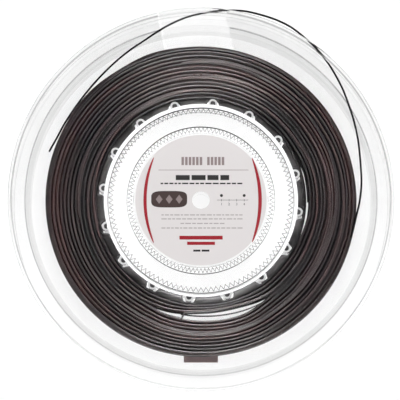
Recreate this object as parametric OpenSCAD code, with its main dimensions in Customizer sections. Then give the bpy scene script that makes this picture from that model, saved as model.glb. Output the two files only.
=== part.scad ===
// Reel of racket string.
// A clear snap-together spool: two dished flanges, a ribbed hub drum between them, and a
// cap on each side that closes the hub and carries the spindle hole. The string is wound
// over the ribs, and its last lap lies loose under a strip of clear tape.
// Millimetres. The reel lies on its rear rim, axis along +Z, origin on the axis at the floor.

/* [Flanges] */
// Outside diameter of both rims
rim_d = 270; // [262:1:290]
// Height of the spool from rim face to rim face
spool_h = 36; // [33:0.5:44]
// Radial width of the bead that ends each rim
bead_w = 3; // [2.4:0.2:5]
// Height of that bead
bead_h = 2.4; // [1.8:0.2:3.4]
// Radius on the bead's two outer edges
bead_round = 0.8; // [0.2:0.1:0.8]
// How far the bead stands up from the lip inside it
bead_rise = 0.8; // [0.5:0.1:1.2]
// Radial width of the sloping lip inside the bead
lip_w = 9.5; // [7:0.5:14]
// How far the lip falls from the rim face
lip_drop = 5; // [3:0.5:6]
// Radial width of the step between lip and flat
step_w = 3.5; // [2:0.5:6]
// How far the step falls
step_drop = 3; // [2:0.5:4]
// Wall of the flanges and of the hub caps
wall = 1.2; // [0.8:0.1:1.6]
// Radius of the flanges' bends and of the caps' edges
bend_round = 0.5; // [0.3:0.05:0.6]

/* [Hub] */
// Diameter of the hub drum under its ribs
hub_d = 136; // [130:1:140]
// Wall of the hub drum
hub_wall = 2.8; // [2.2:0.1:4]
// Radial width of the ledge inside the drum that the caps stand on
ledge_w = 2; // [1:0.5:3]
// Number of hollow ribs round the drum
rib_count = 16; // [8:1:24]
// Angle of the first rib
rib_turn = 15.5; // [0:0.5:22]
// Outside diameter of one rib
rib_d = 6.4; // [5:0.2:7]
// Wall of one rib
rib_wall = 1.3; // [0.8:0.1:1.6]
// Distance of a rib's centre outside the drum
rib_out = 0.5; // [0.2:0.1:1]
// How far a rib's end stands proud of the flange
rib_proud = 0.5; // [0.2:0.1:1]
// Diameter of the spindle hole
spindle_d = 12; // [8:0.5:20]

/* [Caps] */
// Depth of the caps' floor under the flange's flat
cap_depth = 5; // [3:0.5:6.5]
// Diameter of the raised seat for the label
seat_d = 94.8; // [84:0.2:100]
// Number of pleats round each pleated ring
pleat_count = 112; // [80:2:128]
// Radial depth of the pleats
pleat_w = 4; // [3:0.2:5]
// Radial thickness of a pleated wall
pleat_t = 1; // [0.7:0.1:1.3]
// Distance of the paper label's edge inside the edge of its seat
label_inset = 0.4; // [0.2:0.1:4]
// Thickness of the paper label
label_t = 0.25; // [0.15:0.05:0.4]

/* [String] */
// Diameter of the string
string_d = 1.3; // [1.1:0.05:1.4]
// Diameter over the full winding
wind_d = 218; // [180:1:224]
// Number of turns in the outer layer
outer_turns = 8.5; // [5:0.5:8.5]
// Number of ridges of turns on each face of the winding
ridge_count = 9; // [5:1:12]
// Height of those ridges
ridge_h = 1.2; // [0.6:0.1:1.3]
// Angle of the crescent where the inner turns have parted from the rest
gap_turn = 275; // [0:5:355]
// Half the crescent's length, as an angle
gap_half = 28; // [16:1:36]
// Distance of the crescent's ends from the inside of the winding
gap_from_hub = 8.5; // [7.5:0.5:9]
// How far the turns inside the crescent have moved in
gap_in = 3.8; // [2:0.1:4.5]
// How far the turns outside it have moved out
gap_out = 4; // [2:0.1:4.5]

/* [Tape and tag] */
// Width of the tape
tape_w = 48; // [36:1:60]
// Thickness of the tape
tape_t = 0.25; // [0.15:0.05:0.4]
// Length of tape that is stuck to the flange's flat
tape_foot = 4; // [3:0.5:8]
// Radial length of tape that runs straight from its foot up to the rim
tape_leg = 17; // [17:0.5:26]
// How far the loose lap pushes the tape out past the rim
tape_bulge = 1.3; // [1.2:0.1:2.5]
// Width of the tag on the rear flange
tag_w = 24; // [16:1:40]
// Height of the tag
tag_h = 13; // [8:0.5:18]
// Thickness of the tag
tag_t = 0.25; // [0.15:0.05:0.4]
// Distance of the tag's lower edge inside the edge of the flange's flat
tag_inset = 6.5; // [4:0.5:14]

/* [Fits] */
// Clearance of pieces that slip into each other
slip_fit = 0.2; // [0.1:0.05:0.3]
// Clearance all round the winding
wind_fit = 0.3; // [0.2:0.05:0.5]
// Play between the hub drum's ends and what they carry
end_play = 0.3; // [0.2:0.05:0.4]

/* [Hidden] */
$fn = 96;

// Heights, for the front half; the rear half is its mirror
mid_z = spool_h / 2;
flat_z = spool_h - lip_drop - step_drop;
flat_in_z = flat_z - wall;
lip_top_z = spool_h - bead_rise;
floor_z = flat_z - cap_depth;
ledge_z = floor_z - wall;
drum_top_z = flat_in_z - end_play;

// Radii
rim_r = rim_d / 2;
lip_r = rim_r - bead_w;
step_r = lip_r - lip_w;
flat_r = step_r - step_w;
hub_r = hub_d / 2;
bore_r = hub_r - hub_wall;
rib_r = rib_d / 2;
rib_pitch_r = hub_r + rib_out;
cap_r = bore_r - slip_fit;
seat_r = seat_d / 2;
label_r = seat_r - label_inset;
spindle_r = spindle_d / 2;

// The winding: a plain core inside one helical layer of turns
string_r = string_d / 2;
turn_r = wind_d / 2 - string_r;
turn_rings = 24;
turn_sides = 6;
core_in_r = rib_pitch_r + rib_r + wind_fit;
core_out_r = turn_r * cos(180 / turn_rings) - string_r - wind_fit;
core_half_h = flat_in_z - mid_z - wind_fit;
turn_half_h = flat_in_z - mid_z - 2 * wind_fit - string_r;

// Ridges on the core's faces: round arcs side by side, each of a few chords
ridge_w = (core_out_r - core_in_r) / ridge_count;
ridge_r = (ridge_w * ridge_w / 4 + ridge_h * ridge_h) / (2 * ridge_h);
ridge_half = asin(ridge_w / 2 / ridge_r);
ridge_steps = 3;
gap_r = core_in_r + gap_from_hub;

// The loose lap: angle, rise above the outer layer's centreline, height above its top turn
lap_route = [[346, 0, 0], [350, 0.25, 0], [355, 1.2, 0], [360, 2.9, 0], [366, 4.75, 0],
    [372, 6.2, 0], [380, 9.3, 0], [386, 12.1, 0.6], [391, 14.4, 1.5], [400, 19.3, 2.5],
    [410, 24.6, 3.5], [420, 28.3, 3.9], [427, 29.4, 3.9], [435, 28.8, 3.9], [440, 27.6, 3.9],
    [445, 25.6, 3.9], [450, 23.4, 3.5], [455, 20.9, 3], [460, 17.7, 2.4], [465, 14.3, 1.4],
    [470, 11.2, 0.5], [475, 9.1, -0.4], [480, 7.2, -1], [485, 5.4, -1.4], [490, 3.95, -1.5],
    [495, 2.8, -1.5], [502, 1.9, -1.5], [510, 1.7, -1.5], [516, 1.9, -1.5], [520, 2.9, -1.5],
    [522, 3.5, -1.5]];
lap_crest = 13;
lap_rings = 80;
lap_sides = 8;

// Angle and tilt of the tape, where it crosses the rim
tape_turn = 93;
tape_lean = 9;

// How far cutting bodies reach past what they cut
over = 1;

clear_plastic = [0.93, 0.94, 0.95, 0.45];
string_colour = [0.17, 0.15, 0.15];

// ---- helpers -------------------------------------------------------------------------

function unit(v) = v / norm(v);

// Points on a circular arc
function arc(centre, r, from, to, steps = 6) =
    [for (i = [0:steps]) let (a = from + (to - from) * i / steps)
        centre + r * [cos(a), sin(a)]];

// A corner at b, on the way from a to c, rounded to radius r
function rounded(a, b, c, r, steps = 4) =
    let (u = unit(a - b), v = unit(c - b), half = acos(u * v) / 2,
        centre = b + r / sin(half) * unit(u + v),
        p = b + r / tan(half) * u - centre, q = b + r / tan(half) * v - centre,
        from = atan2(p[1], p[0]), sweep = (atan2(q[1], q[0]) - from + 540) % 360 - 180)
    arc(centre, r, from, from + sweep, steps);

// A closed outline of corners [x, y, radius], each one rounded
function rounded_outline(corners) = let (n = len(corners))
    [for (i = [0:n - 1]) let (a = corners[(i + n - 1) % n], b = corners[i], c = corners[(i + 1) % n])
        each b[2] == 0 ? [[b[0], b[1]]]
            : rounded([a[0], a[1]], [b[0], b[1]], [c[0], c[1]], b[2])];

// A point given by angle, radius and height
function polar(a, r, z) = [r * cos(a), r * sin(a), z];

// One ring of a tube round centre c, square to the direction t
function tube_ring(c, t, r, sides) =
    let (side = unit(cross(t, [0, 0, 1])), up = cross(side, t))
    [for (k = [0:sides - 1]) let (a = 360 * k / sides)
        c + r * (cos(a) * side + sin(a) * up)];

// A closed tube of triangles along the centres, with the direction given at each one
module tube(centres, directions, r, sides) {
    n = len(centres);
    points = [for (i = [0:n - 1]) each tube_ring(centres[i], directions[i], r, sides)];
    skin = [for (i = [0:n - 2], k = [0:sides - 1])
        let (a = i * sides + k, b = i * sides + (k + 1) % sides)
        each [[a, b, b + sides], [a, b + sides, a + sides]]];
    ends = [for (k = [1:sides - 2])
        each [[0, k + 1, k], [0, k, k + 1] + (n - 1) * sides * [1, 1, 1]]];
    polyhedron(points, concat(skin, ends), convexity = 10);
}

// A ring with a rectangular section
module hoop(r_in, r_out, z0, z1)
    rotate_extrude() translate([r_in, z0]) square([r_out - r_in, z1 - z0]);

// The rear half of the spool mirrors the front half
module rear() translate([0, 0, spool_h]) mirror([0, 0, 1]) children();

module each_rib()
    for (i = [0:rib_count - 1]) rotate(rib_turn + i * 360 / rib_count)
        translate([rib_pitch_r, 0, 0]) children();

// ---- flanges -------------------------------------------------------------------------

// Half section of the dished flange: flat, step, sloping lip and a bead that stands up from it
module flange_section() polygon(rounded_outline([
    [bore_r, flat_in_z, 0], [bore_r, flat_z, 0], [flat_r, flat_z, bend_round],
    [step_r, flat_z + step_drop, bend_round], [lip_r, lip_top_z, bend_round / 2],
    [lip_r, spool_h, bend_round / 2], [rim_r, spool_h, bead_round],
    [rim_r, spool_h - bead_h, bead_round], [lip_r, spool_h - bead_h, 0],
    [lip_r, lip_top_z - wall, bend_round / 2], [step_r, flat_in_z + step_drop, bend_round],
    [flat_r, flat_in_z, bend_round]]));

// Half-round windows that the hub's ribs snap into
module rib_windows() difference() {
    each_rib() translate([0, 0, flat_in_z - over])
        cylinder(r = rib_r + slip_fit, h = wall + 2 * over);
    translate([0, 0, flat_in_z - 2 * over]) cylinder(r = hub_r - slip_fit, h = wall + 4 * over);
}

module flange() difference() {
    rotate_extrude() flange_section();
    rib_windows();
}

module front_flange() color(clear_plastic) flange();

module rear_flange() color(clear_plastic) rear() flange();

// ---- hub -----------------------------------------------------------------------------

// Drum wall with its inner ledge, and ribs whose ends pass through both flanges
module hub_drum() color(clear_plastic) union() {
    hoop(bore_r, hub_r, spool_h - drum_top_z, drum_top_z);
    hoop(bore_r - ledge_w, bore_r + hub_wall / 2, spool_h - ledge_z + end_play,
        ledge_z - end_play);
    difference() {
        each_rib() translate([0, 0, spool_h - flat_z - rib_proud])
            cylinder(r = rib_r, h = 2 * (flat_z + rib_proud - mid_z));
        each_rib() translate([0, 0, -over])
            cylinder(r = rib_r - rib_wall, h = spool_h + 2 * over);
        translate([0, 0, -over]) cylinder(r = hub_r - slip_fit / 2, h = spool_h + 2 * over);
    }
}

// Dished cap: raised label seat with the spindle hole, a wall down from it, and a floor
module hub_cap() rotate_extrude() polygon(rounded_outline([
    [spindle_r, flat_in_z, 0], [spindle_r, flat_z, 0], [seat_r, flat_z, bend_round / 2],
    [seat_r, floor_z, 0], [cap_r, floor_z, 0], [cap_r, ledge_z, 0],
    [seat_r - wall, ledge_z, bend_round], [seat_r - wall, flat_in_z, 0]]));

module front_hub_cap() color(clear_plastic) hub_cap();

module rear_hub_cap() color(clear_plastic) rear() hub_cap();

// Zigzag outline that swings between two radii, turned by a share of one pleat
function zigzag(r_in, r_out, share) =
    [for (i = [0:2 * pleat_count - 1]) let (a = 180 * (i + share) / pleat_count)
        (i % 2 == 0 ? r_out : r_in) * [cos(a), sin(a)]];

// One storey of a pleated wall
module pleats(r_out, z0, h, share) translate([0, 0, z0]) linear_extrude(h) difference() {
    polygon(zigzag(r_out - pleat_w + pleat_t, r_out, share));
    polygon(zigzag(r_out - pleat_w, r_out - pleat_t, share));
}

// Two storeys of pleats, half a pleat apart, so that they cross as a lattice
module pleated_ring(r_out) union() {
    pleats(r_out, floor_z, cap_depth / 2, 0);
    pleats(r_out, floor_z + cap_depth / 2, cap_depth / 2, 1);
}

module outer_pleated_ring() color([0.82, 0.82, 0.83]) pleated_ring(cap_r);

module inner_pleated_ring() color([0.82, 0.82, 0.83])
    pleated_ring(seat_r + slip_fit + pleat_w);

module face_label() color([0.86, 0.85, 0.84])
    hoop(spindle_r + slip_fit, label_r, flat_z, flat_z + label_t);

// ---- string --------------------------------------------------------------------------

// Upper outline of the core's section, from the inside out
core_edge = [for (i = [0:ridge_count - 1], k = [0:i < ridge_count - 1 ? ridge_steps - 1 : ridge_steps])
    let (a = 90 + ridge_half * (1 - 2 * k / ridge_steps))
    [core_in_r + (i + 0.5) * ridge_w, core_half_h - ridge_r] + ridge_r * [cos(a), sin(a)]];
core_base = [for (i = [len(core_edge) - 1:-1:0]) [core_edge[i][0], -core_edge[i][1]]];

// Distance from the axis to the centre of the circle through the crescent's two ends and,
// midway between them, the radius r
function gap_centre(r) = (r * r - gap_r * gap_r) / (2 * (r - gap_r * cos(gap_half)));

// A round bar with that circle as its section
module gap_side(r) translate([gap_centre(r), 0, 0])
    cylinder(r = r - gap_centre(r), h = 2 * core_half_h + 2 * over, center = true);

// Ridges of turns on both faces, and the open crescent
module string_core() color(string_colour) translate([0, 0, mid_z]) difference() {
    rotate_extrude() polygon(concat(core_edge, core_base));
    rotate(gap_turn) difference() {
        gap_side(gap_r + gap_out);
        gap_side(gap_r - gap_in);
    }
}

// Where the outer layer ends and the loose lap begins
top_turn_z = mid_z + turn_half_h;
lap_start = polar(lap_route[0][0], turn_r, top_turn_z);
lap_heading = [-sin(lap_route[0][0]), cos(lap_route[0][0]), 0];

// The helix climbs from the rear flange to the height of the lap, then runs straight for
// one diameter into the lap's first point
turn_span = 360 * outer_turns;
turn_steps = round(turn_rings * outer_turns);
turn_from = lap_route[0][0] - turn_span;
turn_z0 = mid_z - turn_half_h;
turn_centres = concat(
    [for (i = [0:turn_steps - 1]) let (s = i / turn_steps)
        polar(turn_from + s * turn_span, turn_r, turn_z0 + s * (lap_start[2] - turn_z0))],
    [lap_start - string_d * lap_heading, lap_start]);
turn_count = len(turn_centres);
turn_headings = [for (i = [0:turn_count - 1])
    i == 0 ? unit(turn_centres[1] - turn_centres[0])
        : i >= turn_count - 2 ? lap_heading
        : unit(turn_centres[i + 1] - turn_centres[i - 1])];

module string_outer_turns() color(string_colour)
    tube(turn_centres, turn_headings, string_r, turn_sides);

// Least distance between centres that are more than half a turn apart, less one diameter
turn_gap = min([for (i = [0:turn_count - 1])
    for (j = [i + turn_rings / 2:1:turn_count - 1])
        norm(turn_centres[i] - turn_centres[j])]) - string_d;
echo(outer_turns_least_gap = turn_gap);

// Smooth curve through the lap's points (Catmull-Rom)
lap_points = [for (p = lap_route) polar(p[0], turn_r + p[1], top_turn_z + p[2])];
lap_last = len(lap_points) - 1;
function lap_at(i) = i < 0 ? 2 * lap_points[0] - lap_points[1]
    : i > lap_last ? 2 * lap_points[lap_last] - lap_points[lap_last - 1] : lap_points[i];
function lap_curve(s) =
    let (i = min(floor(s), lap_last - 1), t = s - i,
        p0 = lap_at(i - 1), p1 = lap_at(i), p2 = lap_at(i + 1), p3 = lap_at(i + 2))
    0.5 * (2 * p1 + (p2 - p0) * t + (2 * p0 - 5 * p1 + 4 * p2 - p3) * t * t
        + (3 * p1 - p0 - 3 * p2 + p3) * t * t * t);
lap_centres = [for (i = [0:lap_rings - 1]) lap_curve(lap_last * i / (lap_rings - 1))];
lap_headings = [for (i = [0:lap_rings - 1])
    i == 0 ? lap_heading
        : unit(lap_centres[min(i + 1, lap_rings - 1)] - lap_centres[i - 1])];

module string_tail() color(string_colour)
    tube(lap_centres, lap_headings, string_r, lap_sides);

// ---- tape and tag --------------------------------------------------------------------

// Half section of the tape: foot on the flat, straight leg up to the bead, over the rim,
// out round the loose lap, and down to the rear bead
module tape_section() {
    lap_z = top_turn_z + lap_route[lap_crest][2];
    foot_r = lip_r - tape_leg;
    path = [[foot_r - tape_foot, flat_z], [foot_r, flat_z], [lip_r, spool_h],
        [rim_r, spool_h], [rim_r, spool_h - bead_h], [rim_r + tape_bulge, lap_z],
        [rim_r, bead_h], [rim_r, bead_round]];
    back = [[rim_r + tape_t, bead_round], [rim_r + tape_t, bead_h],
        [rim_r + tape_bulge + tape_t, lap_z], [rim_r + tape_t, spool_h - bead_h],
        [rim_r + tape_t, spool_h + tape_t], [lip_r, spool_h + tape_t],
        [foot_r, flat_z + tape_t], [foot_r - tape_foot, flat_z + tape_t]];
    polygon(concat(path, back));
}

module retaining_tape() color([0.95, 0.95, 0.96, 0.5]) intersection() {
    rotate_extrude() tape_section();
    rotate(tape_turn) translate([rim_r, 0, 0]) rotate(tape_lean)
        translate([-rim_r / 2, -tape_w / 2, -over]) cube([rim_r, tape_w, spool_h + 3 * over]);
}

module rear_tag() color([0.47, 0.41, 0.41])
    translate([-tag_w / 2, tag_inset - flat_r, spool_h - flat_z - tag_t])
        cube([tag_w, tag_h, tag_t]);

// ---- assembly ------------------------------------------------------------------------

front_flange();
rear_flange();
hub_drum();
front_hub_cap();
rear_hub_cap();
outer_pleated_ring();
inner_pleated_ring();
face_label();
string_core();
string_outer_turns();
string_tail();
retaining_tape();
rear_tag();
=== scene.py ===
"""Reel of racket string: clear snap-together spool, wound string, paper label, strip of tape."""
import math

import bpy
import numpy as np
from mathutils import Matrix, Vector


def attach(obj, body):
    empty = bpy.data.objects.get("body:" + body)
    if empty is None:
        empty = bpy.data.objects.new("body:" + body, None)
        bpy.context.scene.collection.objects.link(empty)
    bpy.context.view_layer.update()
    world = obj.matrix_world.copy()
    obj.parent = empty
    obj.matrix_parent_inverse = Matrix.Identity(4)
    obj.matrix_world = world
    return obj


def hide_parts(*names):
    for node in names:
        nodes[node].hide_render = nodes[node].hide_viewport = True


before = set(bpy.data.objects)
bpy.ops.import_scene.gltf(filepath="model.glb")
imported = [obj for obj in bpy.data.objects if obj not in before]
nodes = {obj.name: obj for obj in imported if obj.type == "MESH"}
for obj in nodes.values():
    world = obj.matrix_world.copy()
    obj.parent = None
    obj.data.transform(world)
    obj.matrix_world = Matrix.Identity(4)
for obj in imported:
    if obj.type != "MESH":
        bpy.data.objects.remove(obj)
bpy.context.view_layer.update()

MM = 0.001
TURN = 2 * math.pi

# ---- sizes, in millimetres; those of the reel as in the part's source --------------------

SPOOL_H = 36.0
MID_Z = SPOOL_H / 2
RIM_R, LIP_R, STEP_R, FLAT_R = 135.0, 132.0, 122.5, 119.0
STRING_R = 0.65
OUTER_TURN_R = 108.35
TOP_TURN_Z = 25.55
WIND_IN_R = 72.0
RIB_COUNT, RIB_TURN = 16, 15.5
RIB_STEP = 360 / RIB_COUNT
RIB_PITCH_R, RIB_HOLLOW_R, RIB_BOTTOM_Z = 68.5, 1.85, 27.2
LABEL_R, LABEL_TOP_Z = 47.0, 28.25
INK_T = 0.03
# the strip of tape: place round the rim and lean from the radius, in degrees, and half its width
TAPE_TURN, TAPE_LEAN, TAPE_HALF = 93, 9, 23.8

# Route of the loose lap: angle, rise above the outer layer, height above its top turn
LAP_ROUTE = np.array([
    (346, 0, 0), (350, 0.25, 0), (355, 1.2, 0), (360, 2.9, 0), (366, 4.75, 0), (372, 6.2, 0),
    (380, 9.3, 0), (386, 12.1, 0.6), (391, 14.4, 1.5), (400, 19.3, 2.5), (410, 24.6, 3.5),
    (420, 28.3, 3.9), (427, 29.4, 3.9), (435, 28.8, 3.9), (440, 27.6, 3.9), (445, 25.6, 3.9),
    (450, 23.4, 3.5), (455, 20.9, 3), (460, 17.7, 2.4), (465, 14.3, 1.4), (470, 11.2, 0.5),
    (475, 9.1, -0.4), (480, 7.2, -1), (485, 5.4, -1.4), (490, 3.95, -1.5), (495, 2.8, -1.5),
    (502, 1.9, -1.5), (510, 1.7, -1.5), (516, 1.9, -1.5), (520, 2.9, -1.5), (522, 3.5, -1.5)])


# ---- camera ------------------------------------------------------------------------------

def place_camera(elevation, distance, sensor_px, focal_px, aim):
    """Long lens, looking along +Y and down by the elevation. The lens is the focal length in
    pixels times the sensor's width over the picture's width."""
    data = bpy.data.cameras.new("studio_camera")
    data.sensor_width = 36.0
    data.lens = focal_px * data.sensor_width / sensor_px
    data.clip_start, data.clip_end = 0.1, 20.0
    camera = bpy.data.objects.new("studio_camera", data)
    bpy.context.scene.collection.objects.link(camera)
    tilt = math.radians(elevation)
    back = Vector((0, -math.cos(tilt), math.sin(tilt)))
    camera.rotation_mode = "QUATERNION"
    camera.location = Vector(aim) * MM + back * distance * MM
    camera.rotation_quaternion = (-back).to_track_quat("-Z", "Y")
    bpy.context.scene.camera = camera


place_camera(84.0, 3000.0, 400, 4273.0, aim=(-0.63, 1.14, MID_Z))


# ---- mesh helpers ------------------------------------------------------------------------

def grid_quads(rows, columns, rows_close=False, columns_close=False):
    """Quads between neighbours of a grid of rows by columns of points. A direction that
    closes joins its last line of points to its first."""
    i = np.arange(rows if rows_close else rows - 1)[:, None]
    j = np.arange(columns if columns_close else columns - 1)[None, :]
    i2, j2 = (i + 1) % rows, (j + 1) % columns
    quads = np.stack([i * columns + j, i2 * columns + j, i2 * columns + j2, i * columns + j2], -1)
    return quads.reshape(-1, 4)


def make_piece(name, points, faces, material, smooth=True, sharp=None):
    """One mesh object at the origin from points in millimetres. Faces is a list of arrays of
    corner numbers. With sharp, edges that bend by more than that many degrees stay sharp."""
    mesh = bpy.data.meshes.new(name)
    faces = [f for part in faces for f in part.tolist()]
    mesh.from_pydata(np.asarray(points, float).reshape(-1, 3) * MM, [], faces)
    mesh.polygons.foreach_set("use_smooth", np.full(len(mesh.polygons), smooth))
    if sharp is not None:
        mesh.set_sharp_from_angle(angle=math.radians(sharp))
    mesh.materials.append(material)
    mesh.update()
    piece = bpy.data.objects.new(name, mesh)
    bpy.context.scene.collection.objects.link(piece)
    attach(piece, "root")
    return piece


def set_shade(piece, warmth, gloss=1.0, pale=0.0):
    """Keeps three numbers per point of a string's mesh, which its material reads."""
    count = len(piece.data.vertices)
    for name, values in (("warmth", warmth), ("gloss", gloss), ("pale", pale)):
        attribute = piece.data.attributes.new(name, "FLOAT", "POINT")
        values = np.broadcast_to(np.asarray(values, np.float32).ravel(), count)
        attribute.data.foreach_set("value", np.ascontiguousarray(values))


def polar(angle, radius, height):
    """Points from angles in radians, radii and heights: radius times the cosine, radius times
    the sine, and the height."""
    return np.stack(np.broadcast_arrays(radius * np.cos(angle), radius * np.sin(angle), height), -1)


def swept_tubes(lines, radius, roll, sides):
    """Tubes along lines of points, an array of strands by rings by 3. Round each point stands a
    ring of corners: the outward side and the up side, square to the line's direction, times the
    cosine and sine of the corner's angle. Roll turns the ring. Ends are closed by a middle point."""
    strands, rings = lines.shape[:2]
    along = np.gradient(lines, axis=1)
    along /= np.linalg.norm(along, axis=-1, keepdims=True)
    side = np.cross(along, (0.0, 0.0, 1.0))
    side /= np.linalg.norm(side, axis=-1, keepdims=True)
    up = np.cross(side, along)
    corner = np.arange(sides) * TURN / sides + roll[..., None]
    points = (lines[:, :, None] + radius * (np.cos(corner)[..., None] * side[:, :, None]
                                            + np.sin(corner)[..., None] * up[:, :, None]))
    step = rings * sides
    walls = grid_quads(rings, sides, False, True)[None] + step * np.arange(strands)[:, None, None]
    faces = [walls.reshape(-1, 4)]
    k = np.arange(sides)
    after = (k + 1) % sides
    for strand in range(strands):
        head, tail = (np.full(sides, strands * step + 2 * strand + end) for end in (0, 1))
        first, last = strand * step, (strand + 1) * step - sides
        faces.append(np.stack([head, first + k, first + after], -1))
        faces.append(np.stack([tail, last + after, last + k], -1))
    return np.concatenate([points.reshape(-1, 3), lines[:, [0, -1]].reshape(-1, 3)]), faces


def per_tube_point(values, sides):
    """Repeats one number per ring for each of the ring's corners, and for the two end points."""
    return np.concatenate([np.repeat(values.ravel(), sides), values[:, [0, -1]].ravel()])


def spline(points, count):
    """Smooth curve through points (Catmull-Rom), as count points at equal steps."""
    points = np.asarray(points, float)
    padded = np.concatenate([[2 * points[0] - points[1]], points, [2 * points[-1] - points[-2]]])
    s = np.linspace(0, len(points) - 1, count)
    i = np.minimum(s.astype(int), len(points) - 2)
    t = (s - i)[:, None]
    p0, p1, p2, p3 = (padded[i + n] for n in range(4))
    return 0.5 * (2 * p1 + (p2 - p0) * t + (2 * p0 - 5 * p1 + 4 * p2 - p3) * t ** 2
                  + (3 * p1 - p0 - 3 * p2 + p3) * t ** 3)


def wander(rng, angle, most):
    """Smooth random curve round the reel: a sum of cosines with 1 to most whole cycles per turn,
    random phases and weights that fall with the number of cycles. One row per strand."""
    cycles = np.arange(1, most + 1)
    strands = angle.shape[0]
    phase = rng.uniform(0, TURN, (strands, 1, len(cycles)))
    weight = rng.normal(0, 1, (strands, 1, len(cycles))) / cycles ** 0.7
    return (weight * np.cos(angle[..., None] * cycles + phase)).sum(-1) / 1.5


def hump(angle, centre, half):
    """1 at the centre, falling as a squared cosine to 0 at a half width to either side. The angle
    is in radians, the centre and the half width in degrees."""
    away = (np.degrees(angle) - centre + 180) % 360 - 180
    return np.cos(np.clip(away / half, -1, 1) * math.pi / 2) ** 2


# ---- material helpers --------------------------------------------------------------------

class Nodes:
    """Short hand for building a node tree."""

    def __init__(self, tree):
        self.tree = tree
        tree.nodes.clear()

    def put(self, socket, value):
        """Links the socket to another one, or sets its value."""
        if isinstance(value, bpy.types.NodeSocket):
            self.tree.links.new(value, socket)
        else:
            socket.default_value = value

    def add(self, kind, sockets=None, **settings):
        """A node with its settings (names of properties) and its sockets' values or links."""
        node = self.tree.nodes.new(kind)
        for name, value in settings.items():
            setattr(node, name, value)
        for name, value in (sockets or {}).items():
            self.put(node.inputs[name], value)
        return node

    def math(self, operation, a, b=0.0, c=0.0, clamp=False):
        """The result of one sum on up to three values."""
        node = self.add("ShaderNodeMath", {0: a, 1: b, 2: c}, operation=operation, use_clamp=clamp)
        return node.outputs[0]

    def mix(self, factor, a, b, blend="MIX"):
        """Colour mix of a and b."""
        return self.add("ShaderNodeMix", {0: factor, 6: a, 7: b}, data_type="RGBA",
                        blend_type=blend).outputs[2]

    def ramp(self, factor, stops):
        """Grey values at positions of the factor, joined by straight lines."""
        node = self.add("ShaderNodeValToRGB", {"Fac": factor})
        elements = node.color_ramp.elements
        while len(elements) < len(stops):
            elements.new(0.5)
        for element, (position, grey) in zip(elements, stops):
            element.position = position
            element.color = (grey, grey, grey, 1)
        return node.outputs["Color"]

    def noise(self, vector, scale, detail=2.0, roughness=0.5):
        """Smooth random values from 0 to 1, with so many cells a metre."""
        return self.add("ShaderNodeTexNoise", {"Vector": vector, "Scale": scale, "Detail": detail,
                                               "Roughness": roughness}).outputs["Fac"]

    def coords(self):
        """Object coordinates."""
        return self.add("ShaderNodeTexCoord").outputs["Object"]

    def radius(self):
        """Distance from the reel's axis, in metres."""
        flat = self.add("ShaderNodeVectorMath", {0: self.coords(), 1: (1, 1, 0)},
                        operation="MULTIPLY").outputs[0]
        return self.add("ShaderNodeVectorMath", {0: flat}, operation="LENGTH").outputs["Value"]

    def split(self, vector):
        """The X, Y and Z parts of a vector."""
        return self.add("ShaderNodeSeparateXYZ", {0: vector}).outputs

    def group(self, tree, values):
        """A shared effect with its own values."""
        return self.add("ShaderNodeGroup", values, node_tree=tree).outputs


def new_group(name, inputs, outputs):
    """An empty shader node group: named number inputs with their values, and named outputs
    with their kinds. Gives the tree, its maker, the given inputs and the outputs to fill."""
    tree = bpy.data.node_groups.new(name, "ShaderNodeTree")
    for title, value in inputs.items():
        socket = tree.interface.new_socket(title, in_out="INPUT", socket_type="NodeSocketFloat")
        socket.default_value = value
    for title, kind in outputs.items():
        tree.interface.new_socket(title, in_out="OUTPUT", socket_type="NodeSocket" + kind)
    n = Nodes(tree)
    return tree, n, n.add("NodeGroupInput").outputs, n.add("NodeGroupOutput").inputs


def new_material(name):
    """An empty material, its maker, and its surface to fill."""
    material = bpy.data.materials.new(name)
    material.use_nodes = True
    n = Nodes(material.node_tree)
    return material, n, n.add("ShaderNodeOutputMaterial").inputs["Surface"]


# ---- shared effects ----------------------------------------------------------------------

def moulding_marks():
    """Slow waviness of a moulded surface and fine rubbed scratches: a roughness and a bump."""
    tree, n, given, out = new_group(
        "moulding_marks", {"Wave": 0.1, "Base Roughness": 0.03, "Rub": 0.05},
        {"Roughness": "Float", "Normal": "Vector"})
    here = n.coords()
    slow = n.noise(here, 55.0, 1.0)
    fine = n.noise(here, 900.0, 3.0, 0.6)
    rubbed = n.ramp(fine, [(0.52, 0.0), (0.7, 1.0)])
    rough = n.math("MULTIPLY_ADD", rubbed, given["Rub"], given["Base Roughness"])
    bump = n.add("ShaderNodeBump", {"Strength": given["Wave"], "Distance": 0.0004,
                                    "Height": slow})
    n.put(out["Roughness"], rough)
    n.put(out["Normal"], bump.outputs["Normal"])
    return tree


MOULDING_MARKS = moulding_marks()


def paper_grain():
    """Fine fibres and slow tone changes of coated paper: a tone round 1 and a bump."""
    tree, n, given, out = new_group("paper_grain", {"Grain": 0.2, "Tone": 0.03},
                                    {"Tone": "Float", "Normal": "Vector"})
    here = n.coords()
    slow = n.noise(here, 40.0, 2.0)
    fine = n.noise(here, 2600.0, 2.0)
    tone = n.math("MULTIPLY_ADD", n.math("SUBTRACT", slow, 0.5), given["Tone"], 1.0)
    bump = n.add("ShaderNodeBump", {"Strength": given["Grain"], "Distance": 0.00005,
                                    "Height": fine})
    n.put(out["Tone"], tone)
    n.put(out["Normal"], bump.outputs["Normal"])
    return tree


PAPER_GRAIN = paper_grain()


# ---- finishes ----------------------------------------------------------------------------

def beside_tape(n):
    """Distance from the middle line of the tape, in metres, to the right of it: the dot product
    of the place with the direction across the strip, less that of the line's point on the rim."""
    across = math.radians(TAPE_TURN + TAPE_LEAN - 90)
    here = n.split(n.coords())
    middle = RIM_R * math.sin(math.radians(TAPE_LEAN)) * MM
    return n.math("MULTIPLY_ADD", here["X"], math.cos(across),
                  n.math("MULTIPLY_ADD", here["Y"], math.sin(across), -middle))


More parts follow.
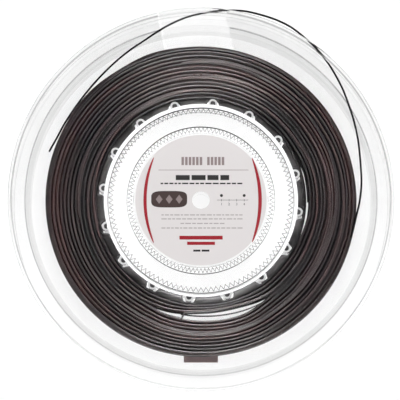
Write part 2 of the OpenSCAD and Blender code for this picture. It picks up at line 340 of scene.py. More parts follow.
def bend_shade():
    """Painted shade on the clear flanges, given as how much light they let through. At the step,
    and at the sharp bends beside the lip and the rim, a share by radius is raised to a power that
    grows from the near edge to the far edge, is small on the rear flange, and is smaller still
    under the tape: painted shade for the dark lines that those bends show. Outside the drum the
    flange also darkens a little towards the far edge, less so under the tape, as painted shade."""
    tree, n, given, out = new_group("bend_shade", {"Amount": 1.0}, {"Tint": "Float"})
    here = n.split(n.coords())
    first, last = STEP_R - 7.5, RIM_R
    stops = ((FLAT_R, 1.0), (FLAT_R + 1.2, 0.97), (STEP_R, 0.9), (STEP_R + 0.3, 0.55),
             (STEP_R + 0.8, 0.55), (STEP_R + 1.1, 0.97), (STEP_R + 1.7, 1.0), (LIP_R + 0.1, 1.0),
             (LIP_R + 0.4, 0.6), (LIP_R + 0.8, 0.6), (LIP_R + 1.1, 1.0), (RIM_R - 0.5, 1.0),
             (RIM_R - 0.1, 0.86))
    place = n.math("MULTIPLY_ADD", n.radius(), 1 / ((last - first) * MM), -first / (last - first))
    dark = n.ramp(place, [((r - first) / (last - first), value) for r, value in stops])
    far = n.math("MULTIPLY_ADD", here["Y"], 2.4, 0.92)
    bare = n.math("GREATER_THAN", n.math("ABSOLUTE", beside_tape(n)), (TAPE_HALF + 0.1) * MM)
    bare = n.math("MAXIMUM", bare, n.math("LESS_THAN", here["Y"], 0.0))
    front = n.math("MULTIPLY_ADD", n.math("GREATER_THAN", here["Z"], MID_Z * MM), 0.85, 0.15)
    power = n.math("MULTIPLY", n.math("MULTIPLY", far, front), given["Amount"])
    bend = n.math("POWER", dark, n.math("MULTIPLY", power, n.math("MULTIPLY_ADD", bare, 0.9, 0.1)))
    fall = n.math("MINIMUM", n.math("MULTIPLY_ADD", here["Y"], 0.3, 0.107),
                  n.math("MULTIPLY_ADD", here["Y"], 0.65, 0.107))
    fall = n.math("MULTIPLY", fall, n.math("MULTIPLY_ADD", bare, 0.37, 0.48))
    past_drum = n.math("GREATER_THAN", n.radius(), (WIND_IN_R - 3.0) * MM)
    level = n.math("SUBTRACT", 1.0, n.math("MULTIPLY", fall, past_drum))
    n.put(out["Tint"], n.math("MULTIPLY", bend, level))
    return tree


BEND_SHADE = bend_shade()


def outer_faces(n, reach):
    """1 on faces that look straight away from the reel's middle along its axis, and lie further
    from it than reach."""
    facing = n.split(n.add("ShaderNodeNewGeometry").outputs["True Normal"])["Z"]
    away = n.math("SUBTRACT", n.split(n.coords())["Z"], MID_Z * MM)
    outward = n.math("GREATER_THAN", n.math("MULTIPLY", facing, n.math("SIGN", away)), 0.9)
    return n.math("MULTIPLY", outward, n.math("GREATER_THAN", n.math("ABSOLUTE", away), reach))


def clear_finish(name, rub=0.0, wave=0.0, ior=1.49, depth=1.0, grey_share=0.0, reach=0.0, grey=0.5,
                 solid=1.0):
    """Clear moulded plastic. It darkens by depth where it is seen at a slant, where the path
    through it grows: painted shade for the dark edges of clear plastic, with the painted shade of
    the bends laid over it. Light passes it without a hard shadow. Faces that look out along the
    reel's axis, beyond reach, have a share of flat grey. Solid is the alpha of the rest."""
    material, n, surface = new_material(name)
    marks = n.group(MOULDING_MARKS, {"Wave": wave, "Base Roughness": 0.0, "Rub": rub})
    slant = n.add("ShaderNodeLayerWeight", {"Blend": 0.5}).outputs["Facing"]
    tint = n.ramp(slant, [(place, 1 - depth * dark) for place, dark in
                          ((0.0, 0.0), (0.05, 0.005), (0.25, 0.1), (0.6, 0.5), (1.0, 0.8))])
    bends = n.group(BEND_SHADE, {"Amount": 1.0})
    tint = n.mix(1.0, tint, bends["Tint"], blend="MULTIPLY")
    body = n.add("ShaderNodeBsdfPrincipled",
                 {"Base Color": tint, "IOR": ior, "Transmission Weight": 1.0,
                  "Roughness": marks["Roughness"], "Normal": marks["Normal"], "Alpha": solid})
    shown = body.outputs[0]
    if grey_share:
        grey_body = n.add("ShaderNodeBsdfPrincipled",
                        {"Base Color": (grey, grey, grey, 1), "Roughness": 0.4})
        share = n.math("MULTIPLY", outer_faces(n, reach), grey_share)
        shown = n.add("ShaderNodeMixShader",
                      {0: share, 1: shown, 2: grey_body.outputs[0]}).outputs[0]
    open_air = n.add("ShaderNodeBsdfTransparent", {"Color": (0.97, 0.97, 0.975, 1)})
    ray = n.add("ShaderNodeLightPath").outputs
    mixed = n.add("ShaderNodeMixShader",
                  {0: ray["Is Shadow Ray"], 1: shown, 2: open_air.outputs[0]})
    n.put(surface, mixed.outputs[0])
    return material


def string_finish():
    """Coated string: near-black, brown where its warmth is high, with slow flecks and a slight
    waviness. Its gloss number sets how much of the coat's shine is left, and where it is low the
    colour is darker too: painted shade for turns that lie deeper. Where it is pale it turns grey,
    a painted glow of light on the turns beside the hub."""
    material, n, surface = new_material("coated_string")
    warmth, gloss, pale = (n.add("ShaderNodeAttribute", attribute_name=name).outputs["Fac"]
                           for name in ("warmth", "gloss", "pale"))
    here = n.coords()
    fleck = n.noise(here, 420.0, 3.0)
    warm = n.math("MULTIPLY", warmth, n.ramp(fleck, [(0.3, 0.55), (0.7, 1.0)]), clamp=True)
    colour = n.mix(warm, (0.012, 0.0115, 0.012, 1), (0.07, 0.033, 0.03, 1))
    # painted shade: where the gloss number is low the colour is darker, for turns that lie deeper
    dull = n.math("MULTIPLY_ADD", gloss, 0.7, 0.3)
    colour = n.mix(1.0, colour, dull, blend="MULTIPLY")
    # painted light: where the string is pale it turns grey, a glow on the turns beside the hub
    colour = n.mix(pale, colour, (0.165, 0.158, 0.158, 1))
    bump = n.add("ShaderNodeBump", {"Strength": 0.03, "Distance": 0.0002,
                                    "Height": n.noise(here, 60.0)})
    body = n.add("ShaderNodeBsdfPrincipled",
                 {"Base Color": colour, "Roughness": 0.22, "IOR": 1.5,
                  "Specular IOR Level": n.math("MULTIPLY", gloss, 0.3),
                  "Coat Weight": gloss, "Coat Roughness": 0.05,
                  "Coat IOR": 1.9, "Normal": bump.outputs[0]})
    n.put(surface, body.outputs[0])
    return material


def grained_finish(name, colour, roughness, grain=0.2, tone=0.12, ior=1.45, specular=0.08,
                   border=None):
    """Paper, ink or film: a colour with the shared grain, whose tone changes slowly. A border's
    colour takes the place of it along the label's edge."""
    material, n, surface = new_material(name)
    effect = n.group(PAPER_GRAIN, {"Grain": grain, "Tone": tone})
    colour = (*colour, 1)
    if border:
        outside = n.math("GREATER_THAN", n.radius(), (LABEL_R - 1.1) * MM)
        colour = n.mix(outside, colour, (*border, 1))
    shade = n.mix(1.0, colour, effect["Tone"], blend="MULTIPLY")
    body = n.add("ShaderNodeBsdfPrincipled",
                 {"Base Color": shade, "Roughness": roughness, "IOR": ior,
                  "Specular IOR Level": specular, "Normal": effect["Normal"]})
    n.put(surface, body.outputs[0])
    return material


def tape_finish():
    """Clear glossy film with a trace of milkiness that ends short of one long edge."""
    material, n, surface = new_material("clear_tape")
    milk = n.math("MULTIPLY", n.math("GREATER_THAN", beside_tape(n), -(TAPE_HALF - 1.2) * MM), 0.03)
    marks = n.group(MOULDING_MARKS, {"Wave": 0.3, "Base Roughness": 0.06, "Rub": 0.1})
    film = n.add("ShaderNodeBsdfPrincipled",
                 {"Base Color": (0.96, 0.96, 0.96, 1), "IOR": 1.12, "Alpha": milk,
                  "Roughness": marks["Roughness"], "Normal": marks["Normal"]})
    n.put(surface, film.outputs[0])
    return material


CLEAR_PLASTIC = clear_finish("clear_plastic", ior=1.2)
# on the drum the flat grey on its end faces is painted light, the brightness of its walls seen end-on
HUB_PLASTIC = clear_finish("hub_plastic", rub=0.02, wave=0.05, grey_share=0.9, reach=0.0083,
                           grey=0.46)
PLEATED_PLASTIC = clear_finish("pleated_plastic", rub=0.05, wave=0.1, ior=1.2, depth=0.3,
                               grey_share=0.7, reach=0.0085, grey=0.12, solid=0.08)
STRING = string_finish()
CLEAR_TAPE = tape_finish()
LABEL_PAPER = grained_finish("label_paper", (0.74, 0.705, 0.705), 0.5, grain=0.25, tone=0.02,
                             border=(0.93, 0.93, 0.93))
# the tag film is given a lighter colour than its own, painted light that makes up for the shade of the
# winding on it
TAG_FILM = grained_finish("tag_film", (0.62, 0.49, 0.48), 0.4, tone=0.25, ior=1.5, specular=0.5)
GREY_INK, PALE_INK, BLACK_INK, BROWN_INK, RED_INK = (
    grained_finish(name, colour, 0.45) for name, colour in (
        ("grey_ink", (0.26, 0.205, 0.205)), ("pale_ink", (0.42, 0.38, 0.38)),
        ("black_ink", (0.018, 0.016, 0.016)), ("brown_ink", (0.05, 0.028, 0.026)),
        ("red_ink", (0.33, 0.004, 0.014))))
# painted shade: the dark that a deep narrow gap shows
GAP_SHADE = grained_finish("painted_gap_shade", (0.02, 0.019, 0.019), 0.6, grain=0.1, tone=0.3, ior=1.5,
                          specular=0.1)


def finish_node(name, material):
    """Gives a carried-over node its material."""
    for place in nodes[name].material_slots:
        place.material = material


for name in ("front_flange", "rear_flange", "front_hub_cap", "rear_hub_cap"):
    finish_node(name, CLEAR_PLASTIC)
finish_node("hub_drum", HUB_PLASTIC)
for name in ("outer_pleated_ring", "inner_pleated_ring"):
    finish_node(name, PLEATED_PLASTIC)
finish_node("face_label", LABEL_PAPER)
finish_node("rear_tag", TAG_FILM)


# ---- the loose lap, a free cord ----------------------------------------------------------

def loose_lap():
    """The last lap: a round tube along the route's smooth curve, from the outer layer's end to
    the string's cut end."""
    around, rise, above = LAP_ROUTE.T
    line = spline(polar(np.radians(around), OUTER_TURN_R + rise, TOP_TURN_Z + above), 360)[None]
    roll = np.linspace(0.4, 3.4, line.shape[1])[None]
    points, faces = swept_tubes(line, STRING_R * 1.08, roll, 12)
    piece = make_piece("loose_lap", points, faces, STRING)
    set_shade(piece, 0.0, gloss=0.0)
    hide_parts("string_tail")


loose_lap()


# ---- the winding -------------------------------------------------------------------------

# places for turns side by side on a face, the innermost one's radius and the step between them
FACE_TURNS = 27
FACE_IN_R = WIND_IN_R + 0.75
FACE_PITCH = (OUTER_TURN_R - 2 * STRING_R - FACE_IN_R) / (FACE_TURNS - 1)
# Gaps that open in the winding: the turn each one follows, and along its smooth curve the
# angle and the shift of the turns inside and outside it, in millimetres
GAPS = (
    (6.9, spline([(232, 0, 0), (240, -0.05, 0.1), (247, -0.4, 0.7), (253, -0.9, 1.7),
                  (261, -2.1, 2.1), (268, -3.3, 2.4), (276, -3.6, 2.7), (284, -3.6, 3.0),
                  (291, -2.9, 2.9), (296, -1.8, 2.1), (301, -0.7, 1.0), (307, -0.1, 0.1),
                  (316, 0, 0)], 200)),
    (0.9, spline([(330, 0, 0), (341, 0, 0.1), (347, 0, 0.7), (353, -0.05, 1.3),
                  (366, -0.1, 1.5), (378, -0.05, 1.35), (385, 0, 0.8), (391, 0, 0.1),
                  (400, 0, 0)], 200)))


def spread(turn, angle):
    """Shift of a turn in or out where a gap opens: turns inside the gap move in, most at the gap
    and not at all at the hub, and turns outside move out, not at all at the outer layer."""
    shift = np.zeros(np.broadcast(turn, angle).shape)
    for at, curve in GAPS:
        here = (np.degrees(angle) - curve[0, 0]) % 360 + curve[0, 0]
        inward, outward = (np.interp(here, curve[:, 0], curve[:, k]) for k in (1, 2))
        inside = np.clip(turn / at, 0, 1) * inward
        outside = np.clip((FACE_TURNS - turn) / (FACE_TURNS - at), 0, 1) * outward
        shift = shift + np.where(turn < at, inside, outside)
    return shift


def rib_sag(turn, angle):
    """The inner turns run straight from rib to rib, so between ribs they lie further in. The
    sag is a parabola, deepest midway, and it fades over the next turns."""
    from_middle = (np.degrees(angle) - RIB_TURN) % RIB_STEP - RIB_STEP / 2
    sag = 0.7 * (1 - (2 * from_middle / RIB_STEP) ** 2)
    return -sag * np.exp(-turn / 2.2)


def face_spiral(rng, height, rings, lift, start):
    """One string wound as a spiral on a face of the winding: the radius grows by two pitches each
    turn, because every other layer ends lower, with smooth random wandering in radius and
    height, sag between the ribs, and the gaps. Returns the line, each point's place in the
    winding counted in pitches, and its angle."""
    turns = FACE_TURNS // 2 + 1
    turn = np.arange(turns * rings) / rings
    place = 2 * turn + start
    angle = (turn % 1.0) * TURN
    whole, steps = turn.astype(int), np.arange(turns * rings) % rings
    blend = turn - whole
    # one wandering curve for each whole turn
    grid = np.linspace(0, TURN, rings, endpoint=False)[None].repeat(turns + 1, 0)
    in_out, up_down = wander(rng, grid, 5), wander(rng, grid, 6)

    def follow(curves):
        """Each turn's curve, blended into the next one's so that the line is smooth."""
        return (1 - blend) * curves[whole, steps] + blend * curves[whole + 1, steps]

    radius = (FACE_IN_R + FACE_PITCH * np.minimum(place, FACE_TURNS - 1) + 0.16 * follow(in_out)
              + spread(place, angle) + rib_sag(place, angle))
    level = height + lift * np.clip(0.5 * follow(up_down), -1, 1)
    return polar(angle, radius, level)[None], place, angle


# Broad brown bands of the string: strength, the turn and the angle that each one is strongest
# at, and its half widths in turns and in degrees
BROWN_BANDS = ((0.9, 22, 185, 2.6, 85), (0.8, 20.5, 130, 1.3, 45), (0.8, 25, 25, 1.8, 60),
               (0.6, 14, 20, 3.0, 60), (0.7, 12, 90, 9.0, 50), (0.7, 12, 270, 9.0, 50))


def warmth_of(rng, turn, angle):
    """How brown the string looks: random by turn, slow along it, with broad brown bands that
    fade as a bell curve over the turns and as a squared cosine over the angle."""
    by_turn = rng.uniform(0, 1, FACE_TURNS + 2)
    own = by_turn[np.clip(turn, 0, FACE_TURNS).astype(int)]
    waves = own * (0.5 + 0.5 * np.sin(3 * angle + 5 * own))
    band = sum(strength * np.exp(-((turn - at) / wide) ** 2) * hump(angle, centre, half)
               for strength, at, centre, wide, half in BROWN_BANDS)
    return np.clip(0.28 * waves + band * (0.5 + 0.5 * own), 0, 1)


def face_turns(name, seed, height, rings, start, gloss, lift):
    """A spiral of string on one face. How far its flats are turned, and how much of its shine
    shows, changes at random from turn to turn; less shine also darkens the string's colour."""
    sides = 8
    rng = np.random.default_rng(seed)
    line, place, angle = face_spiral(rng, height, rings, lift, start)
    rolls = np.cumsum(rng.normal(0, 0.5, FACE_TURNS))
    shine = gloss * rng.uniform(0.4, 1.0, FACE_TURNS)
    turn = (place - start) / 2

    def along(values):
        """One value for each turn, with the straight line between them."""
        return np.interp(turn, np.arange(len(values)), values)[None]

    points, faces = swept_tubes(line, STRING_R, along(rolls), sides)
    piece = make_piece(name, points, faces, STRING)
    set_shade(piece, per_tube_point(warmth_of(rng, place, angle)[None], sides),
              gloss=per_tube_point(along(shine), sides))


def outer_layer():
    """The outermost layer: a helix whose height falls by one diameter each turn from the end of
    the loose lap, with a little wandering, and two loose stretches that stand off."""
    rng = np.random.default_rng(31)
    turns, rings, sides = 11.5, 200, 6
    back = np.arange(int(turns * rings)) / rings
    angle = np.radians(LAP_ROUTE[0, 0]) - back * TURN
    rise = 0.16 * wander(rng, angle[None], 7)[0] * np.clip(back * 8, 0, 1)
    rise = rise + 0.8 * hump(angle, 109, 14) * (back < 1.2) + 0.7 * hump(angle, 136, 16)
    line = polar(angle, OUTER_TURN_R + rise, TOP_TURN_Z - 2 * STRING_R * back)[None, ::-1]
    points, faces = swept_tubes(line, STRING_R, np.linspace(0, 9, len(back))[None], sides)
    piece = make_piece("winding_outer_turns", points, faces, STRING, sharp=30)
    warm = 0.35 + 0.3 * wander(rng, angle[None], 4)
    set_shade(piece, per_tube_point(np.clip(warm[:, ::-1], 0, 1), sides), gloss=0.4)
    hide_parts("string_outer_turns")


def hub_side(angle):
    """Radius of the winding's inside: close to the drum, and out over a slope round each rib."""
    drum, rib, half, slope = 68.4, 72.1, 4.2, 1.4
    from_rib = (np.degrees(angle) - RIB_TURN + RIB_STEP / 2) % RIB_STEP - RIB_STEP / 2
    return drum + (rib - drum) * np.clip((half - np.abs(from_rib)) / slope, 0, 1)


def packed_turns():
    """The turns inside the winding, as rings with a slit between them where a gap opens. Each
    ring's section is a rectangle whose outline swells and sinks by the string's pitch: its points
    go out along the bottom, up, back along the top and down, four to a turn, and stand off by the
    absolute value of a sine."""
    half_height, half_slit, swelling = 5.6, 0.35, 0.45
    per_turn, upright = 4, 44
    slits = sorted(at for at, _ in GAPS)
    starts = [0.25] + [at + half_slit for at in slits]
    ends = [at - half_slit for at in slits] + [FACE_TURNS - 0.9]
    for place, (inner, outer, columns) in enumerate(zip(starts, ends, (720, 720, 360)), 1):
        angle = np.linspace(0, TURN, columns, endpoint=False)
        r0 = FACE_IN_R + FACE_PITCH * inner + spread(inner, angle) if place > 1 else hub_side(angle)
        r1 = FACE_IN_R + FACE_PITCH * outer + spread(outer, angle)
        across = round((outer - inner) * per_turn)
        out, up = (np.linspace(0, 1, n, endpoint=False) for n in (across, upright))
        side = np.concatenate([out, np.ones(upright), 1 - out, np.zeros(upright)])
        rise = np.concatenate([np.zeros(across), up, np.ones(across), 1 - up])
        step = np.concatenate([np.arange(n) for n in (across, upright, across, upright)])
        swell = swelling * np.abs(np.sin(math.pi * step / per_turn))
        out_r = np.where(side >= 1, 1.0, np.where(side <= 0, -1.0, 0.0)) * swell
        out_z = np.where((side > 0) & (side < 1), np.where(rise > 0.5, 1.0, -1.0), 0.0) * swell
        radius = r0[:, None] * (1 - side) + r1[:, None] * side + out_r
        level = MID_Z + half_height * (2 * rise - 1) + out_z
        piece = make_piece(f"winding_packed_turns_{place}",
                           polar(angle[:, None], radius, level[None]),
                           [grid_quads(columns, len(side), True, True)], STRING)
        # painted light: a pale grey glow on the turns beside the hub, brighter towards the far and the
        # near lamps, for the hazy light seen down the gap by the drum
        lit = (0.22 + 0.15 * hump(angle, 75, 50) + 0.4 * hump(angle, 272, 50)
               + 0.12 * np.sin(angle * 11 + 4 * np.sin(angle * 3)))
        near_hub = np.clip((FACE_IN_R - radius) / 1.5, 0, 1)
        set_shade(piece, 0.0, gloss=0.1, pale=near_hub * np.clip(lit, 0.1, 1.2)[:, None])
        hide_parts("string_core")


def stray_turns():
    """Stretches of string that cross over one to three neighbours: the place in the winding
    eases from one turn to another, and the two ends dive under the face by a squared slope."""
    rng = np.random.default_rng(7)
    count, rings, sides, end = 10, 120, 6, 0.12
    along = np.linspace(0, 1, rings)[None]
    start = rng.uniform(0, 360, (count, 1))
    reach = rng.uniform(70, 190, (count, 1))
    first_turn = rng.uniform(3, 23, (count, 1))
    drift = rng.choice([-1, 1], (count, 1)) * rng.uniform(1.2, 2.6, (count, 1))
    angle = np.radians(start + reach * along)
    turn = np.clip(first_turn + drift * (3 * along ** 2 - 2 * along ** 3), 0.5, 25)
    radius = FACE_IN_R + FACE_PITCH * turn + spread(turn, angle)
    dive = 2.2 * np.clip(1 - np.minimum(along, 1 - along) / end, 0, 1) ** 2
    line = polar(angle, radius, TOP_TURN_Z + 0.15 - dive)
    roll = rng.uniform(0, TURN, (count, 1)) + along * 2.0
    points, faces = swept_tubes(line, STRING_R, roll, sides)
    piece = make_piece("winding_stray_turns", points, faces, STRING)
    warm = rng.uniform(0, 0.7, (count, 1)).repeat(rings, 1)
    set_shade(piece, per_tube_point(warm, sides))


def crossing_turn():
    """One turn that leaves the outside of the large gap and sinks into it."""
    route = np.array([(260, 80.6, 17), (266, 80.8, 20.2), (272, 81.1, 22.4), (278, 81.6, 23.9),
                      (284, 82.1, 24.7), (290, 82.7, 25), (296, 83.2, 25), (303, 83.5, 24.6),
                      (312, 83.8, 23.5)])
    line = spline(polar(np.radians(route[:, 0]), route[:, 1], route[:, 2]), 120)[None]
    points, faces = swept_tubes(line, STRING_R * 0.75, np.zeros((1, 120)), 8)
    piece = make_piece("winding_crossing_turn", points, faces, STRING)
    set_shade(piece, 0.2, gloss=0.6)


packed_turns()
# on each face a glossy spiral, and a dull one a little lower between its turns, painted darker as
# shade
HIGH_Z, LOW_Z = TOP_TURN_Z - 0.4, TOP_TURN_Z - 1.4
for side, seed, high, low, rings in (("front", 12, HIGH_Z, LOW_Z, 320),
                                     ("rear", 10, SPOOL_H - HIGH_Z, SPOOL_H - LOW_Z, 160)):
    face_turns(f"winding_{side}_high_turns", seed, high, rings, start=0, gloss=1.0, lift=0.45)
    face_turns(f"winding_{side}_low_turns", seed, low, rings, start=1, gloss=0.15, lift=0.6)
stray_turns()
crossing_turn()
outer_layer()


# ---- painted shade in the seams and rib hollows of the hub -------------------------------

def seam_ring(name, r_in, r_out, low, high):
    """A dark closed ring of painted shade for the shadow in the seam between two pieces of the
    hub. Its section has four corners: the corners' radii and heights, carried once round the axis."""
    columns = 240
    angle = np.linspace(0, TURN, columns, endpoint=False)[:, None]
    ring = polar(angle, np.array([r_in, r_out, r_out, r_in]), np.array([low, low, high, high]))
    make_piece(name, ring, [grid_quads(columns, 4, True, True)], GAP_SHADE,
               sharp=30)


def rib_hollows():
    """Painted shade for the dark depth of each rib's hollow: a thin dark closed plate at both ends,
    whose outline is most of a circle, cut off straight beside the drum."""
    corners, thick = 17, 0.2
    arc = np.radians(np.linspace(-100, 100, corners))
    turn = np.radians(RIB_TURN + np.arange(RIB_COUNT) * RIB_STEP)[:, None]
    x, y = RIB_PITCH_R + RIB_HOLLOW_R * np.cos(arc), RIB_HOLLOW_R * np.sin(arc)
    flat = np.stack([x * np.cos(turn) - y * np.sin(turn), x * np.sin(turn) + y * np.cos(turn)], -1)
    k = np.arange(corners)
    wall = grid_quads(2, corners, False, True)[:, ::-1]
    fan = np.stack([np.zeros(corners - 2, int), k[1:-1], k[2:]], -1)
    points, faces = [], []
    for low in (RIB_BOTTOM_Z - thick, SPOOL_H - RIB_BOTTOM_Z):
        for outline in flat:
            first = sum(map(len, points))
            points.append(np.column_stack([np.tile(outline, (2, 1)),
                                           np.repeat([low, low + thick], corners)]))
            faces += [first + wall, first + fan[:, ::-1], first + corners + fan]
    make_piece("rib_hollows", np.concatenate(points), faces, GAP_SHADE,
               smooth=False)


seam_ring("outer_cap_seam_shade", 65.04, 65.28, 24.0, 28.05)
seam_ring("inner_cap_seam_shade", 51.68, 51.9, 23.1, 27.9)
rib_hollows()


# ---- print on the label ------------------------------------------------------------------

def print_piece(name, points, faces, ink):
    """Flat-shaded print on the label."""
    make_piece(name, points, faces, ink, smooth=False)


def plates(name, left, right, low, high, ink):
    """Thin closed plates on the label: one box per rectangle, its four corners below and the
    same four above."""
    left, right, low, high = np.broadcast_arrays(*map(np.atleast_1d, (left, right, low, high)))
    x = np.stack([left, right, right, left], 1)
    y = np.stack([low, low, high, high], 1)
    points = np.concatenate([np.stack([x, y, np.full(x.shape, z)], -1)
                             for z in (LABEL_TOP_Z, LABEL_TOP_Z + INK_T)], 1)
    box = np.array([(3, 2, 1, 0), (4, 5, 6, 7), (0, 1, 5, 4), (1, 2, 6, 5), (2, 3, 7, 6),
                    (3, 0, 4, 7)])
    faces = (box[None] + 8 * np.arange(len(x))[:, None, None]).reshape(-1, 4)
    print_piece(name, points, [faces], ink)


def word_row(rng, left, right, words, gap):
    """Left and right ends of plain bars that stand for words: random widths scaled to fill the
    row, with the same gap between them."""
    widths = rng.uniform(0.6, 1.6, words)
    widths *= (right - left - gap * (words - 1)) / widths.sum()
    starts = left + np.concatenate([[0], np.cumsum(widths + gap)[:-1]])
    return starts, starts + widths


def outline_plate(name, outline, ink, lift=0.0):
    """A thin closed plate with any outline of points, in order: two copies of the outline, one
    above the other, joined by a wall, and each filled by a fan round its middle."""
    outline = np.asarray(outline)
    count = len(outline)
    base = LABEL_TOP_Z + lift
    low = np.column_stack([outline, np.full(count, base)])
    high = low + (0, 0, INK_T)
    middle = outline.mean(0)
    points = np.concatenate([low, high, [[*middle, base]], [[*middle, base + INK_T]]])
    k = np.arange(count)
    after = (k + 1) % count
    wall = np.stack([k, after, after + count, k + count], -1)
    under = np.stack([np.full(count, 2 * count), after, k], -1)
    over = np.stack([np.full(count, 2 * count + 1), k + count, after + count], -1)
    print_piece(name, points, [wall, under, over], ink)


def side_stripe(name, centre_x, radius, half_deg, thick, facing):
    """A stripe along the label's side that narrows to its ends: an arc whose half thickness
    falls by the root of a cosine to 0.08. Its section has four corners."""
    count = 49
    steps = np.linspace(-1, 1, count)[:, None]
    angle = np.radians(half_deg) * steps + (0 if facing > 0 else math.pi)
    half = thick / 2 * np.cos(steps * math.pi / 2) ** 0.5 + 0.08
    points = polar(angle, radius + half * (-1, 1, 1, -1), LABEL_TOP_Z + INK_T * np.array([0, 0, 1, 1]))
    ends = np.array([(0, 1, 2, 3), (3, 2, 1, 0)]) + np.array([[0], [4 * (count - 1)]])
    print_piece(name, points + (centre_x, 0, 0), [grid_quads(count, 4, False, True), ends], RED_INK)


def number(value, x, y, height):
    """Points and faces of a plain printed number, from Blender's own plain letters."""
    text = bpy.data.curves.new("scale_number", "FONT")
    text.body, text.size, text.extrude = str(value), height, INK_T / 2
    text.align_x, text.align_y = "CENTER", "CENTER"
    holder = bpy.data.objects.new("scale_number", text)
    bpy.context.scene.collection.objects.link(holder)
    bpy.context.view_layer.update()
    shape = holder.to_mesh()
    points = np.empty(len(shape.vertices) * 3)
    shape.vertices.foreach_get("co", points)
    faces = [np.array([list(face.vertices)]) for face in shape.polygons]
    holder.to_mesh_clear()
    bpy.data.objects.remove(holder)
    return points.reshape(-1, 3) + (x, y, LABEL_TOP_Z + INK_T / 2), faces


def scale_numbers(places):
    """The numbers 1, 2, 3 and so on, below places along the scale, as one piece."""
    points, faces = [], []
    for value, x in enumerate(places, 1):
        more, parts = number(value, x, -2.9, 2.6)
        first = sum(map(len, points))
        faces += [part + first for part in parts]
        points.append(more)
    print_piece("label_scale_numbers", np.concatenate(points), faces, BLACK_INK)


def label_print():
    """Everything printed on the label, from the top down."""
    rng = np.random.default_rng(5)
    # heading: two groups of upright bars
    bar, step = 1.75, 2.55
    x = np.concatenate([np.arange(6) * step - 13.6, np.arange(5) * step + 4.4])
    plates("label_heading", x, x + bar, 24.6, 30.4, GREY_INK)
    plates("label_rule", -29.7, 33.3, 21.0, 21.35, GREY_INK)
    a, b = word_row(rng, -17.6, 19.8, 4, 1.3)
    plates("label_subheading", a, b, 14.1, 17.6, BLACK_INK)
    a, b = word_row(rng, -28.2, 29.0, 15, 0.8)
    plates("label_small_print", a, b, 11.2, 12.2, BLACK_INK)
    for row, (y, left, right, words) in enumerate(
            ((-10.8, -27.6, 29.1, 17), (-13.6, -27.6, 29.1, 16), (-16.8, -14.3, 16.5, 8),
             (-20.0, -27.6, 29.1, 17)), 1):
        a, b = word_row(rng, left, right, words, 0.8)
        plates(f"label_text_{row}", a, b, y, y + 0.75, PALE_INK)
    plates("label_bar", (-15.0, -9.6), (15.2, 9.8), (-27.7, -31.5), (-25.1, -29.3), RED_INK)
    a, b = word_row(rng, -5.4, 6.0, 2, 0.9)
    plates("label_foot", a, b, -36.2, -34.8, BLACK_INK)
    side_stripe("label_stripe_left", 37.8, 76.9, 23.2, 2.1, -1)
    side_stripe("label_stripe_right", -40.3, 81.7, 21.5, 2.3, 1)
    # picture: a rounded plaque, whose outline is an ellipse with the roots of its cosine and
    # sine, and three pale lozenges in a row on it
    x, y, apart = -22.2, 0.6, 7.0
    turn = np.linspace(0, TURN, 64, endpoint=False)
    wide, high = (np.sign(v) * np.abs(v) ** 0.5 for v in (np.cos(turn), np.sin(turn)))
    outline_plate("label_picture_plaque", np.column_stack([x + 12.6 * wide, y + 5.8 * high]),
                  BROWN_INK)
    for place in (1, 2, 3):
        middle = x + apart * (place - 2)
        lozenge = [(middle - 2.4, y), (middle, y - 3.2), (middle + 2.4, y), (middle, y + 3.2)]
        outline_plate(f"label_picture_lozenge_{place}", lozenge, GREY_INK, lift=INK_T)
    # scale: a line with four ticks, two dots over the outer ones, and plain numbers
    ticks = 14.4 + 5.3 * np.arange(4)
    plates("label_scale", np.append(ticks - 0.15, 11.2), np.append(ticks + 0.15, 33.2),
           np.append(np.full(4, -0.9), -0.1), np.append(np.full(4, 0.7), 0.15), BLACK_INK)
    spot = np.linspace(0, TURN, 24, endpoint=False)
    for side, x in (("left", ticks[0]), ("right", ticks[-1])):
        outline_plate(f"label_dot_{side}",
                      np.column_stack([x + 1.05 * np.cos(spot), 3.2 + 1.05 * np.sin(spot)]),
                      BLACK_INK)
    scale_numbers(ticks)


label_print()


# ---- tape --------------------------------------------------------------------------------

def retaining_tape():
    """The strip of tape: a section of radius and height carried across the strip. A point of the
    strip lies where a line along the strip, at its distance from the middle, meets the circle of
    the section's radius. Fine ripples run across the foot, and slow ones down the outer side."""
    rows, columns = 150, 61
    section = spline([(110.5, 28.08), (111.3, 28.08), (112.2, 28.12), (116, 29.3), (121, 31.5),
                      (126, 33.6), (130.5, 35.6), (132.4, 36.06), (134.2, 36.06),
                      (135.12, 35.5), (135.3, 33.8), (136.0, 31.2), (136.32, 29.2),
                      (136.1, 24), (135.7, 15), (135.35, 6), (135.12, 2.4), (135.08, 0.9)], rows)
    r, z = section[:, :1], section[:, 1:]
    s = np.linspace(0, 1, rows)[:, None]
    aside = np.linspace(-TAPE_HALF, TAPE_HALF, columns)[None]
    # distance of each line from the reel's axis: the strip's middle line, which crosses the rim
    # at the strip's place, passes the axis at the rim's radius times the sine of the lean
    lean = math.radians(TAPE_LEAN)
    off = aside - RIM_R * math.sin(lean)
    angle = np.arctan2(off, np.sqrt(r ** 2 - off ** 2)) + math.radians(TAPE_TURN) + lean
    foot = 0.45
    ripple = 0.12 * np.sin(s * 330 + 0.6 * np.sin(aside * 0.25))
    ripple = ripple * np.clip(1 - s / 0.4, 0, 1) * np.clip(s * 30, 0, 1)
    radius = r - 0.06 * (s > foot) * (1 + np.sin(aside * 0.4 + s * 14))
    height = z + np.where(s < foot, np.maximum(ripple, -0.03), 0)
    points = polar(angle, radius, height)
    piece = make_piece("tape_strip", points, [grid_quads(rows, columns)[:, ::-1]], CLEAR_TAPE)
    thick = piece.modifiers.new("thickness", "SOLIDIFY")
    thick.thickness, thick.offset = 0.12 * MM, 1.0
    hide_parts("retaining_tape")


retaining_tape()


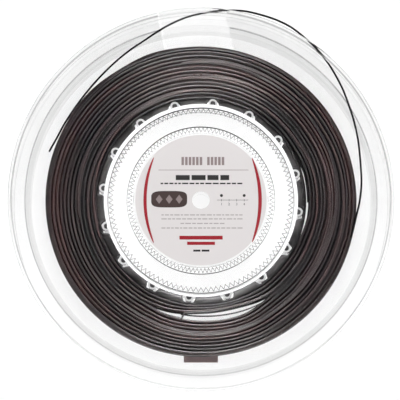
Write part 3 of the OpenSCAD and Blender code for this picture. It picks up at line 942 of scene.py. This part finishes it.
# ---- floor and light ---------------------------------------------------------------------

def floor_finish():
    """White studio floor. Seen directly, in a reflection or through glass it adds its own
    white, and it keeps the object's shadow through its diffuse part."""
    material, n, surface = new_material("studio_floor")
    ray = n.add("ShaderNodeLightPath").outputs
    seen = n.math("MAXIMUM", ray["Is Camera Ray"],
                  n.math("MAXIMUM", ray["Is Glossy Ray"], ray["Is Transmission Ray"]))
    lit = n.add("ShaderNodeBsdfDiffuse", {"Color": (0.098, 0.098, 0.098, 1)})
    glow = n.add("ShaderNodeEmission", {"Color": (1, 1, 1, 1),
                                        "Strength": n.math("MULTIPLY", seen, 0.92)})
    both = n.add("ShaderNodeAddShader", {0: lit.outputs[0], 1: glow.outputs[0]})
    n.put(surface, both.outputs[0])
    return material


def studio_floor(half, below):
    """A square floor, with half its width and how far it lies below the reel, in metres."""
    mesh = bpy.data.meshes.new("studio_floor")
    corners = half * np.array([(-1, -1, 0), (1, -1, 0), (1, 1, 0), (-1, 1, 0)])
    mesh.from_pydata(corners - (0, 0, below), [], [(0, 1, 2, 3)])
    mesh.materials.append(floor_finish())
    floor = bpy.data.objects.new("studio_floor", mesh)
    bpy.context.scene.collection.objects.link(floor)


def studio_world():
    """White where it is seen directly; where it is reflected or seen through glass, a dome that
    is darker overhead and paler to the sides, with a pale horizon behind the glass; a plain
    level as a light."""
    world = bpy.data.worlds.new("studio")
    bpy.context.scene.world = world
    world.use_nodes = True
    n = Nodes(world.node_tree)
    out = n.add("ShaderNodeOutputWorld")
    ray = n.add("ShaderNodeLightPath").outputs
    way = n.split(n.add("ShaderNodeTexCoord").outputs["Generated"])
    dome = n.ramp(way["Z"], [(0.0, 0.1), (0.3, 0.1), (0.5, 0.32), (0.7, 0.24), (0.95, 0.03)])
    sides = n.math("MULTIPLY", n.math("ABSOLUTE", way["X"]), 0.45)
    dome = n.mix(1.0, dome, sides, blend="ADD")
    low = n.ramp(n.math("ABSOLUTE", way["Z"]), [(0.15, 1.0), (0.3, 0.0)])
    low = n.math("MULTIPLY", low, ray["Is Transmission Ray"])
    dome = n.mix(low, dome, (0.85, 0.85, 0.85, 1))
    bounced = n.math("MAXIMUM", ray["Is Glossy Ray"], ray["Is Transmission Ray"])
    white = n.add("ShaderNodeBackground", {"Color": (1, 1, 1, 1), "Strength": 1.0})
    seen = n.add("ShaderNodeBackground", {"Color": dome, "Strength": 1.0})
    light = n.add("ShaderNodeBackground", {"Color": (1, 1, 1, 1), "Strength": 0.4})
    first = n.add("ShaderNodeMixShader", {0: bounced, 1: light.outputs[0], 2: seen.outputs[0]})
    last = n.add("ShaderNodeMixShader",
                 {0: ray["Is Camera Ray"], 1: first.outputs[0], 2: white.outputs[0]})
    n.put(out.inputs["Surface"], last.outputs[0])


def softbox(name, place, size, power):
    """A rectangular lamp that faces the reel's middle. Its multiple importance sampling is off,
    which keeps speckles out of the light that comes through the clear flanges."""
    data = bpy.data.lights.new(name, "AREA")
    data.shape = "RECTANGLE"
    data.size, data.size_y = size
    data.cycles.use_multiple_importance_sampling = False
    data.energy = power
    lamp = bpy.data.objects.new(name, data)
    bpy.context.scene.collection.objects.link(lamp)
    lamp.location = place
    lamp.rotation_mode = "QUATERNION"
    lamp.rotation_quaternion = (Vector((0, 0, 0.02)) - Vector(place)).to_track_quat("-Z", "Y")
    return lamp


studio_floor(3.0, below=0.0003)
studio_world()
FAR_PLACE, NEAR_PLACE = (0.0, 1.3, 2.0), (0.1, -1.35, 2.0)
softbox("far_softbox", FAR_PLACE, (1.6, 0.6), 31.0)
softbox("near_softbox", NEAR_PLACE, (1.2, 0.5), 12.0)
# in the place of each, a narrow strip that only glints on what is glossy
for strip in (softbox("far_glint", FAR_PLACE, (1.1, 0.3), 215.0),
              softbox("near_glint", NEAR_PLACE, (1.2, 0.3), 60.0)):
    strip.visible_diffuse = False

bpy.context.scene.view_settings.view_transform = "Standard"
